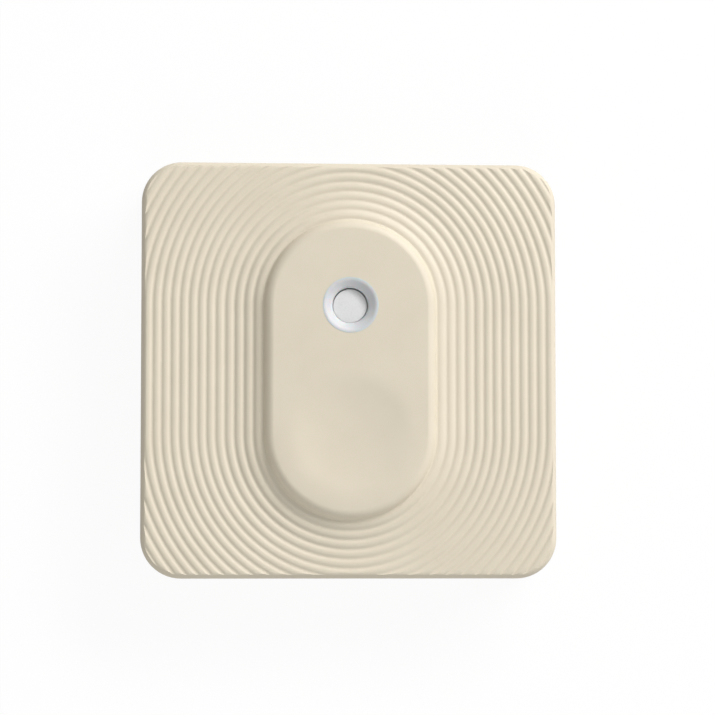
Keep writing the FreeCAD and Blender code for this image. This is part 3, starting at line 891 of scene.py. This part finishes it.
def guide(drawing, offset):
    """Upright rib that stands beside the edge of the board."""
    inner = BOARD_X + GUIDE_CLEARANCE
    middle = (inner + WALL_ROOT) / 2
    size = (WALL_ROOT - inner, GUIDE_WIDTH)
    return box(drawing, (middle, offset), size, BOARD_BACK, CEILING_Z + PAST)


carve(shell, [on_four_walls(groove, SNAP_OFFSETS, "grooves")], "DIFFERENCE")
clips = on_four_walls(clip, (0.0,), "clips")
guides = on_four_walls(guide, GUIDE_OFFSETS, "guides")
boss_root = POCKET_Z + OVERLAP
boss_points = [(0, BOSS_LOW, 0), (BOSS_RADIUS, BOSS_LOW, BOSS_ROUND), (BOSS_RADIUS, boss_root, 0)]
boss = turned(boss_points + [(0, boss_root, 0)], DISH_CENTRE)
carve(shell, [clips, guides, boss], "UNION")
finish_piece(shell, "housing", "shell_plastic", ["front_shell"])

# %% [markdown]
# The light ring is one turned part of clear white plastic. Its mouth is a cone that lets air in and
# spreads the lamp's light, and its flange bears on the underside of the plateau. A porous plug
# stands in its bore, with a narrow gap round it that looks dark where the light can't reach. The
# plug is a few hundredths of a millimetre off the middle, as it is in the photo.

# %% Turn the light ring and the porous plug
BORE = 1.48
BORE_ROUND = 0.25
CONE_DEPTH = 0.487
MOUTH_RADIUS = 2.15
MOUTH_ROUND = 0.14
MOUTH_Z = PLATEAU_Z + 0.03
SHOULDER_RADIUS = 2.34
SHOULDER_Z = PLATEAU_Z + 0.012
RING_RADIUS = 2.29
FLANGE_RADIUS = 3.7
FLANGE_ROUND = 0.05
FLANGE_LOW = POCKET_Z - 0.4

ring_points = [
    (BORE, FLANGE_LOW, 0),
    (BORE, MOUTH_Z - CONE_DEPTH, BORE_ROUND),
    (MOUTH_RADIUS, MOUTH_Z, MOUTH_ROUND),
    (SHOULDER_RADIUS, SHOULDER_Z, 0),
    (SHOULDER_RADIUS, PLATEAU_Z, 0),
    (RING_RADIUS, PLATEAU_Z, 0),
    (RING_RADIUS, POCKET_Z, 0),
    (FLANGE_RADIUS, POCKET_Z, FLANGE_ROUND),
    (FLANGE_RADIUS, FLANGE_LOW, FLANGE_ROUND),
    (BORE, FLANGE_LOW, 0),
]
ring = turned(ring_points, PORT_CENTRE, "ring_light")
finish_piece(ring, "housing", "ring_plastic", ["light_ring"])

PLUG_RADIUS = 1.42
PLUG_ROUND = 0.05
PLUG_TOP = MOUTH_Z - 0.7
PLUG_CENTRE = (-0.015, SPINE_HALF - 0.055)
SKIRT_RADIUS = 2.2
SKIRT_LOW = FLANGE_LOW - 0.15
plug_points = [
    (0, SKIRT_LOW, 0),
    (SKIRT_RADIUS, SKIRT_LOW, 0),
    (SKIRT_RADIUS, FLANGE_LOW, 0),
    (PLUG_RADIUS, FLANGE_LOW, 0),
    (PLUG_RADIUS, PLUG_TOP, PLUG_ROUND),
    (0, PLUG_TOP, 0),
]
plug = turned(plug_points, PLUG_CENTRE, "vent_plug")
finish_piece(plug, "housing", "membrane", ["vent_membrane"])

# %% [markdown]
# The rear cover is a shallow tray. Its lip stands inside the shell, with snap noses that click into
# the grooves, and four curved ribs keep the coin cell in the middle. A slot in the upper edge takes
# a coin or a nail to prise it open. Edges that a hand touches are rounded.

# %% Mould the rear cover
BACK_ROUND = 0.5
BACK_STEPS = 6
BACK_THICKNESS = 0.8
LIP_CLEARANCE = 0.15
LIP_THICKNESS = 0.8
LIP_TOP = 2.8
LIP_CHAMFER = 0.15
LIP_X = INNER_X - LIP_CLEARANCE
LIP_Y = INNER_Y - LIP_CLEARANCE
LIP_CORNER = INNER_CORNER - LIP_CLEARANCE
LEAD_IN = 0.1
PRY_WIDTH = 5.0
PRY_DEPTH = 1.0
PRY_HEIGHT = 0.6


def tray_levels():
    """Insets and heights of the tray: a round back edge, upright sides and a small chamfer."""
    levels = []
    for step in range(BACK_STEPS + 1):
        turn = math.pi / 2 * step / BACK_STEPS
        levels.append((BACK_ROUND * (1 - math.sin(turn)), BACK_ROUND * (1 - math.cos(turn))))
    return levels + [(0, SEAM_Z - SEAM_CHAMFER), (SEAM_CHAMFER, SEAM_Z)]


cover = solid(tower(HALF_WIDTH, HALF_HEIGHT, CORNER_RADIUS, tray_levels()), "cover_rear")
lip_levels = [(0, BACK_THICKNESS - OVERLAP), (0, LIP_TOP - LIP_CHAMFER), (LIP_CHAMFER, LIP_TOP)]
lip = solid(tower(LIP_X, LIP_Y, LIP_CORNER, lip_levels), "lip")
carve(cover, [lip], "UNION")
tray_room_sizes = [size - LIP_THICKNESS for size in (LIP_X, LIP_Y, LIP_CORNER)]
tray_room_levels = [(-LEAD_IN - OVERLAP, LIP_TOP + OVERLAP), (0.0, LIP_TOP - LEAD_IN)]
tray_room = tower(*tray_room_sizes, tray_room_levels + [(0.0, BACK_THICKNESS)])
pry_slot = bmesh.new()
pry_size = (PRY_WIDTH, 2 * PRY_DEPTH)
box(pry_slot, (0, HALF_HEIGHT), pry_size, SEAM_Z - PRY_HEIGHT, SEAM_Z + PAST)
carve(cover, [solid(tray_room, "room"), solid(pry_slot, "slot")], "DIFFERENCE")

# %% [markdown]
# A snap nose is a wedge on the lip. The ribs round the cell are one ring, turned and then crossed
# by two gaps, so that all four lie on the same circle.

# %% Snap noses and the ribs round the cell
SNAP_CLEARANCE = 0.04
BAY_INNER = 10.25
BAY_OUTER = 11.05
BAY_TOP = 2.8
BAY_LOW = BACK_THICKNESS - OVERLAP
BAY_ROUND = 0.12
BAY_GAP = 9.0
GAP_REACH = 24.0


def nose(drawing, offset):
    """Wedge on the lip that stops just short of the groove."""
    root = LIP_X - LIP_THICKNESS / 2
    low, high = SNAP_Z - SNAP_HALF_HEIGHT, SNAP_Z + SNAP_HALF_HEIGHT
    section = [(root, low), (LIP_X, low), (INNER_X - SNAP_CLEARANCE, SNAP_Z)]
    section += [(LIP_X, high), (root, high)]
    return bar(drawing, section, offset - SNAP_LENGTH / 2, SNAP_LENGTH)


bay_points = [(BAY_INNER, BAY_LOW, 0), (BAY_INNER, BAY_TOP, BAY_ROUND)]
bay_points += [(BAY_OUTER, BAY_TOP, BAY_ROUND), (BAY_OUTER, BAY_LOW, 0), (BAY_INNER, BAY_LOW, 0)]
bay = turned(bay_points, name="bay")
gaps = []
for name, size in (("gap", (GAP_REACH, BAY_GAP)), ("other_gap", (BAY_GAP, GAP_REACH))):
    gap_drawing = bmesh.new()
    box(gap_drawing, (0, 0), size, BAY_LOW - PAST, BAY_TOP + PAST)
    gaps.append(solid(gap_drawing, name))
carve(bay, gaps, "DIFFERENCE")
carve(cover, [bay, on_four_walls(nose, SNAP_OFFSETS, "noses")], "UNION")
finish_piece(cover, "base", "shell_plastic", ["rear_cover"])

# %% [markdown]
# Under the stem of the switch lies a sprung disc, thin sheet pressed into a low dome. A press
# flattens it, and then it springs back.

# %% Press the sprung disc of the switch
WELL_FLOOR = 5.2
STEM_FOOT = 5.58
DOME_SHEET = 0.05
DOME_RADIUS = 1.6
DOME_FLAT = 0.6
DOME_BEND = 0.15

dome_points = [
    (0, STEM_FOOT - DOME_SHEET, 0),
    (DOME_FLAT, STEM_FOOT - DOME_SHEET, DOME_BEND),
    (DOME_RADIUS, WELL_FLOOR, 0),
    (DOME_RADIUS, WELL_FLOOR + DOME_SHEET, 0),
    (DOME_FLAT, STEM_FOOT, DOME_BEND),
    (0, STEM_FOOT, 0),
]
dome = turned(dome_points, DISH_CENTRE, "switch_spring")
finish_piece(dome, "housing", "contact_steel", ["switch_dome"])
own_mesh(dome)

# %% [markdown]
# The coin cell is a pressed steel cup, closed by a cap with a sealing ring between them. All three
# are turned from their sections. Pressed sheet has no sharp corner, so each corner is rounded.

# %% Turn the coin cell
CELL_RADIUS = 10.0
CELL_TOP = 4.0
CUP_RIM = 3.7
CUP_ROUND = 0.35
CUP_RIM_ROUND = 0.16
CUP_MOUTH_ROUND = 0.1
SEAL_SEAT = 3.4
SEAL_TOP = 3.68
SEAL_OUTER = 9.15
SEAL_INNER = 8.85
SEAL_ROUND = 0.06
LID_EDGE = 3.88
LID_EDGE_ROUND = 0.18
LID_FLAT = 8.1
LID_BEND = 0.4

cup_points = [
    (0, BACK_THICKNESS, 0),
    (CELL_RADIUS, BACK_THICKNESS, CUP_ROUND),
    (CELL_RADIUS, CUP_RIM, CUP_RIM_ROUND),
    (SEAL_OUTER, CUP_RIM, CUP_MOUTH_ROUND),
    (SEAL_OUTER, SEAL_SEAT, 0),
    (0, SEAL_SEAT, 0),
]
cup = turned(cup_points, name="cell_cup")
finish_piece(cup, "cell", "cell_metal", ["cell_can"])

seal_points = [
    (SEAL_INNER, SEAL_SEAT, 0),
    (SEAL_OUTER, SEAL_SEAT, 0),
    (SEAL_OUTER, SEAL_TOP, SEAL_ROUND),
    (SEAL_INNER, SEAL_TOP, SEAL_ROUND),
    (SEAL_INNER, SEAL_SEAT, 0),
]
seal = turned(seal_points, name="cell_grommet")
finish_piece(seal, "cell", "cell_grommet", ["cell_seal"])

lid_points = [
    (0, SEAL_SEAT, 0),
    (SEAL_INNER, SEAL_SEAT, 0),
    (SEAL_INNER, LID_EDGE, LID_EDGE_ROUND),
    (LID_FLAT, CELL_TOP, LID_BEND),
    (0, CELL_TOP, 0),
]
lid = turned(lid_points, name="cell_lid")
finish_piece(lid, "cell", "cell_metal", ["cell_cap"])

# %% [markdown]
# The circuit board is a round-cornered plate of green laminate. Its small parts hang from its back,
# above the cell. A soldered part shows three things: a body with softened edges, metal ends, and a
# small foot of solder on the board.

# %% The board
BOARD_Y = INNER_Y - BOARD_CLEARANCE
BOARD_CORNER = 1.6
BOARD_EDGE = 0.04

board_levels = [(BOARD_EDGE, BOARD_BACK), (0, BOARD_BACK + BOARD_EDGE)]
board_levels += [(0, BOARD_TOP - BOARD_EDGE), (BOARD_EDGE, BOARD_TOP)]
board = solid(tower(BOARD_X, BOARD_Y, BOARD_CORNER, board_levels), "board_laminate")
finish_piece(board, "housing", "board_laminate", ["circuit_board"])

# %% [markdown]
# Bodies, lids, metal ends and solder are all boxes with soft edges, so one helper draws them. Each
# hangs from the back of the board, and lower where solder or another piece comes between.

# %% Small parts with softened edges
SOFT_STEPS = 2


def soft_box(drawing, centre, size, drop, height, edge):
    """Box that hangs from the back of the board, lowered by drop, with its edges rounded."""
    before = set(drawing.edges)
    high = BOARD_BACK - drop
    box(drawing, centre, size, high - height, high)
    edges = [part for part in drawing.edges if part not in before]
    round_off(drawing, edges, edge, "EDGES", SOFT_STEPS)


def soft_boxes(name, places, size, drop, height, edge):
    """One solid with a soft box at each place."""
    drawing = bmesh.new()
    for place in places:
        soft_box(drawing, place, size, drop, height, edge)
    return solid(drawing, name)


RADIO = (-11.1, -11.1)
RADIO_DROP = 0.03
RADIO_HEIGHT = 0.82
RADIO_FACE = BOARD_BACK - RADIO_DROP - RADIO_HEIGHT
MARK_CENTRE = (RADIO[0] - 1.8, RADIO[1] + 1.8)
MARK_RADIUS = 0.3
MARK_LOW = RADIO_FACE - 0.35
MARK_FLOOR = RADIO_FACE + 0.03

radio = soft_boxes("radio_body", [RADIO], (5.0, 5.0), RADIO_DROP, RADIO_HEIGHT, edge=0.06)
mark_points = [(0, MARK_LOW, 0), (MARK_RADIUS, MARK_LOW, 0), (MARK_RADIUS, MARK_FLOOR, 0)]
mark = turned(mark_points + [(0, MARK_FLOOR, 0)], MARK_CENTRE)
carve(radio, [mark], "DIFFERENCE")
finish_piece(radio, "housing", "chip_black", ["radio_chip"])

# %% [markdown]
# The crystal is a ceramic tub with a metal lid. The antenna is a long ceramic block, and the bulk
# capacitor one dipped in resin. These are the bodies alone: their metal ends come further on.

# %% The crystal, the antenna and the bulk capacitor
CRYSTAL = (-12.35, -6.8)
ANTENNA = (12.05, 14.2)
BULK = (-11.1, 11.9)

crystal = soft_boxes("crystal_tub", [CRYSTAL], size=(2.5, 2.0), drop=0.0, height=0.3, edge=0.04)
finish_piece(crystal, "housing", "chip_ceramic", ["crystal_base"])
cap = soft_boxes("crystal_cap", [CRYSTAL], size=(2.26, 1.76), drop=0.3, height=0.25, edge=0.08)
finish_piece(cap, "housing", "contact_steel", ["crystal_lid"])
antenna = soft_boxes("antenna_body", [ANTENNA], size=(6.5, 2.2), drop=0.02, height=0.98, edge=0.07)
finish_piece(antenna, "housing", "chip_ceramic", ["chip_antenna"])
bulk = soft_boxes("bulk_body", [BULK], size=(2.9, 1.6), drop=0.1, height=1.1, edge=0.12)
finish_piece(bulk, "housing", "capacitor_yellow", ["bulk_capacitor"])

# %% [markdown]
# Small capacitors and resistors stand in rows of four. A capacitor is a fired block, and taller
# than a resistor, which is a thin plate with a dark face. Each row is one piece, as it is one node.

# %% Rows of small chips
CHIP_COUNT = 4
CHIP_PITCH = 1.1
CHIP_MIDDLE = 11.1
CHIP_SIZE = (0.46, 0.8)
FIRST_CHIP = CHIP_MIDDLE - CHIP_PITCH * (CHIP_COUNT - 1) / 2
CHIP_XS = [FIRST_CHIP + CHIP_PITCH * index for index in range(CHIP_COUNT)]
CAPACITORS = [(x, -10.1) for x in CHIP_XS]
RESISTORS = [(x, -12.1) for x in CHIP_XS]

blocks = soft_boxes("capacitor_bodies", CAPACITORS, CHIP_SIZE, drop=0.02, height=0.46, edge=0.03)
finish_piece(blocks, "housing", "chip_ceramic", ["chip_capacitors"])
plates = soft_boxes("resistor_bodies", RESISTORS, CHIP_SIZE, drop=0.02, height=0.31, edge=0.03)
finish_piece(plates, "housing", "chip_black", ["chip_resistors"])

# %% [markdown]
# Each end of a small part is dipped in tin, and solder climbs it a little from the board. An end
# and its foot are two soft boxes, one in the other. The radio has flat pads on four sides. All this
# metal is one piece, and it stands for no node of the CAD model.

# %% Metal ends and solder feet
SIDES = (-1, 1)
END_OFFSET = 0.39
END_SIZE = (0.5, 0.24)
FOOT_SIZE = (0.56, 0.34)
ANTENNA_END_OFFSET = 3.05
BULK_END_OFFSET = 1.45
PAD_COUNT = 7
PAD_PITCH = 0.6
PAD_OFFSET = 2.5
PAD_SIZE = (0.34, 0.28)
PAD_HEIGHT = 0.16


def both_ends(places, offset, along_x=False):
    """Places of the two metal ends of each part."""
    shift = (offset, 0) if along_x else (0, offset)
    return [(x + side * shift[0], y + side * shift[1]) for x, y in places for side in SIDES]


ends = bmesh.new()
for place in both_ends(CAPACITORS, END_OFFSET):
    soft_box(ends, place, END_SIZE, drop=0, height=0.5, edge=0.05)
    soft_box(ends, place, FOOT_SIZE, drop=0, height=0.12, edge=0.05)
for place in both_ends(RESISTORS, END_OFFSET):
    soft_box(ends, place, END_SIZE, drop=0, height=0.35, edge=0.04)
    soft_box(ends, place, FOOT_SIZE, drop=0, height=0.1, edge=0.04)
for place in both_ends([ANTENNA], ANTENNA_END_OFFSET, along_x=True):
    soft_box(ends, place, size=(0.55, 2.22), drop=0, height=1.0, edge=0.08)
for place in both_ends([BULK], BULK_END_OFFSET, along_x=True):
    soft_box(ends, place, size=(0.32, 1.1), drop=0, height=0.65, edge=0.06)
for quarter in range(QUARTERS):
    for index in range(PAD_COUNT):
        along = (index - PAD_COUNT // 2) * PAD_PITCH
        points = box(ends, (PAD_OFFSET, along), PAD_SIZE, BOARD_BACK - PAD_HEIGHT, BOARD_BACK)
        quarter_turns(ends, points, quarter)
        bmesh.ops.translate(ends, verts=points, vec=(*RADIO, 0))
solder = solid(ends, "solder_ends")
finish_piece(solder, "housing", "contact_tin")

# %% [markdown]
# The cell's contacts are strips of tinned spring steel. Sheet is bent round a tool, so every bend has
# a radius: the line of the strip is drawn, rounded, widened into a surface and given its thickness.

# %% Bend the contact strips
SHEET = 0.12
CONTACT_GAP = 0.03
MINUS_WIDTH = 2.8
MINUS_FLAT = 0.6
MINUS_STEP = 2.1
MINUS_END = 4.5
MINUS_LOW = CELL_TOP + CONTACT_GAP
MINUS_HIGH = BOARD_BACK - SHEET
MINUS_ROUND = 0.3
PLUS_WIDTH = 3.0
PLUS_FOOT = 2.0
PLUS_LOW = 2.0
PLUS_LEAD = 0.3
PLUS_X = CELL_RADIUS + CONTACT_GAP
PLUS_ROUND = 0.22
PLUS_LEAD_ROUND = 0.15


def strip(points, width, side, name, stands_for):
    """Bent strip of sheet, from the line of one of its faces. side says where the metal lies."""
    drawing = bmesh.new()
    draw_run(drawing, points, centre_y=-width / 2)
    moved_run(drawing, drawing.edges[:], (0, width, 0))
    bmesh.ops.recalc_face_normals(drawing, faces=drawing.faces)
    bmesh.ops.solidify(drawing, geom=drawing.faces[:], thickness=SHEET * side)
    made = solid(drawing, name)
    for axis, way in (("x", 0), ("z", 2)):
        places = [vertex.co[way] for vertex in made.data.vertices]
        print(name, axis, "from", round(min(places), 3), "to", round(max(places), 3))
    finish_piece(made, "housing", "contact_tin", [stands_for])


half_line = [
    (MINUS_FLAT, MINUS_LOW, MINUS_ROUND),
    (MINUS_STEP, MINUS_HIGH, MINUS_ROUND),
    (MINUS_END, MINUS_HIGH, 0),
]
minus_line = [(-x, z, rounding) for x, z, rounding in reversed(half_line)] + half_line
strip(minus_line, MINUS_WIDTH, -1, "minus_spring", "minus_contact")
plus_line = [
    (PLUS_X + PLUS_FOOT, BOARD_BACK, 0),
    (PLUS_X, BOARD_BACK, PLUS_ROUND),
    (PLUS_X, PLUS_LOW, PLUS_LEAD_ROUND),
    (PLUS_X + PLUS_LEAD, PLUS_LOW - PLUS_LEAD, 0),
]
strip(plus_line, PLUS_WIDTH, 1, "plus_spring", "plus_contact")

# %% [markdown]
# The sensor lies on a wide pale floor. For light that bounces, the floor is a plain pale surface. The
# camera sees it mostly as an even white glow with a little of the lit surface, so that the picture's
# ground is white and still keeps the soft shadow. An opening as wide as the flat back, hidden under
# the sensor, lets a view from below show that back.

# %% Floor
BOUNCE = 0.55
GLOW_SHARE = 0.93
LIT_WHITE = 0.95
FLOOR_Z = 0.0
FLOOR_SPREAD = 180
FLAT_MARGIN = 0.05
FOOTPRINT_INSET = BACK_ROUND - FLAT_MARGIN
FOOTPRINT_HALF = HALF_WIDTH - FOOTPRINT_INSET
FOOTPRINT_CORNER = CORNER_RADIUS - FOOTPRINT_INSET


def camera_sees(tree):
    """Socket that is 1 for what the camera sees directly, in a reflection or through clear parts."""
    path = tree.nodes.new("ShaderNodeLightPath")
    seen = path.outputs["Is Camera Ray"]
    for also in ("Is Glossy Ray", "Is Transmission Ray"):
        seen = calculate(tree, "MAXIMUM", seen, path.outputs[also])
    return seen


def mixed(tree, share, first, second):
    """Mix of two shaders. share is the second one's part, a socket or a number."""
    both = tree.nodes.new("ShaderNodeMixShader")
    if isinstance(share, bpy.types.NodeSocket):
        tree.links.new(share, both.inputs[0])
    else:
        both.inputs[0].default_value = share
    tree.links.new(first.outputs[0], both.inputs[1])
    tree.links.new(second.outputs[0], both.inputs[2])
    return both


floor_white = bpy.data.materials.new("floor_white")
floor_white.use_nodes = True
tree = floor_white.node_tree
bounce = tree.nodes.new("ShaderNodeBsdfDiffuse")
bounce.inputs["Color"].default_value = (BOUNCE, BOUNCE, BOUNCE, 1)
lit = tree.nodes.new("ShaderNodeBsdfDiffuse")
lit.inputs["Color"].default_value = (LIT_WHITE, LIT_WHITE, LIT_WHITE, 1)
glow = tree.nodes.new("ShaderNodeEmission")
seen = mixed(tree, GLOW_SHARE, lit, glow)
ground = mixed(tree, camera_sees(tree), bounce, seen)
tree.links.new(ground.outputs[0], tree.nodes["Material Output"].inputs["Surface"])

floor_drawing = bmesh.new()
draw_rounded_square(floor_drawing, FOOTPRINT_HALF, FOOTPRINT_HALF, FOOTPRINT_CORNER, FLOOR_Z)
footprint = floor_drawing.faces[:]
spread = bmesh.ops.extrude_edge_only(floor_drawing, edges=floor_drawing.edges[:])["geom"]
far_edge = only(spread, bmesh.types.BMVert)
bmesh.ops.scale(floor_drawing, verts=far_edge, vec=(FLOOR_SPREAD, FLOOR_SPREAD, 1))
bmesh.ops.delete(floor_drawing, geom=footprint, context="FACES")
floor = solid(floor_drawing, "floor")
print("floor faces:", len(floor.data.polygons))
floor.data.transform(Matrix.Scale(MM, 4))
floor.data.materials.append(floor_white)

# %% [markdown]
# The studio is a white room with two panels. A long one stands at the upper right and models the
# ribs, a weaker one below keeps the lower side from going dark, and the room itself fills the rest.
# Their levels were found by trying each light alone against the photo. The room lights the sensor
# dimly, but the camera and the mirrored view see it as white as the floor.

# %% Light
WORLD_LIGHT = 0.367
BACKDROP = 0.97

world = bpy.context.scene.world or bpy.data.worlds.new("studio")
bpy.context.scene.world = world
world.use_nodes = True
tree = world.node_tree
room_light = tree.nodes["Background"]
backdrop = tree.nodes.new("ShaderNodeBackground")
for light, strength in ((room_light, WORLD_LIGHT), (backdrop, BACKDROP)):
    light.inputs["Color"].default_value = (1, 1, 1, 1)
    light.inputs["Strength"].default_value = strength
around = mixed(tree, camera_sees(tree), room_light, backdrop)
tree.links.new(around.outputs[0], tree.nodes["World Output"].inputs["Surface"])


def panel(name, azimuth, elevation, distance, size, light):
    """Flat lamp that looks at the origin. light is what it gives a white surface that faces it."""
    data = bpy.data.lights.new(name, "AREA")
    data.shape = "RECTANGLE"
    data.size, data.size_y = size
    data.energy = math.pi**2 * distance**2 * light
    lamp = bpy.data.objects.new(name, data)
    azimuth, elevation = math.radians(azimuth), math.radians(elevation)
    flat = math.cos(elevation)
    way = (flat * math.cos(azimuth), flat * math.sin(azimuth), math.sin(elevation))
    lamp.location = Vector(way) * distance
    lamp.rotation_euler = (-lamp.location).to_track_quat("-Z", "Y").to_euler()
    bpy.context.scene.collection.objects.link(lamp)


panel("key_panel", azimuth=47, elevation=30, distance=0.6, size=(0.5, 0.12), light=1.06)
panel("fill_panel", azimuth=-90, elevation=40, distance=0.6, size=(0.3, 0.3), light=0.24)

# %% [markdown]
# The camera stands about 24 cm away and a few degrees to the lower left, with a long lens. Its
# place and its aim were found by laying renders over the photo until the outlines met.

# %% Camera
VIEW_DISTANCE = 0.239
TILT_X = math.radians(4.0)
TILT_Y = math.radians(3.9)
AIM = Vector((0.565, 0.95, 7.3)) * MM
SHOWN_WIDTH = 0.0598
SENSOR = 36.0

back = Vector((-math.tan(TILT_X), -math.tan(TILT_Y), 1)).normalized()
right = Vector((0, 1, 0)).cross(back).normalized()
camera_data = bpy.data.cameras.new("camera")
camera_data.sensor_width = SENSOR
camera_data.lens = SENSOR * VIEW_DISTANCE / SHOWN_WIDTH
camera = bpy.data.objects.new("camera", camera_data)
facing = Matrix((right, back.cross(right), back)).transposed().to_4x4()
camera.matrix_world = Matrix.Translation(AIM + back * VIEW_DISTANCE) @ facing
bpy.context.scene.collection.objects.link(camera)
bpy.context.scene.camera = camera
bpy.context.scene.view_settings.view_transform = "Standard"
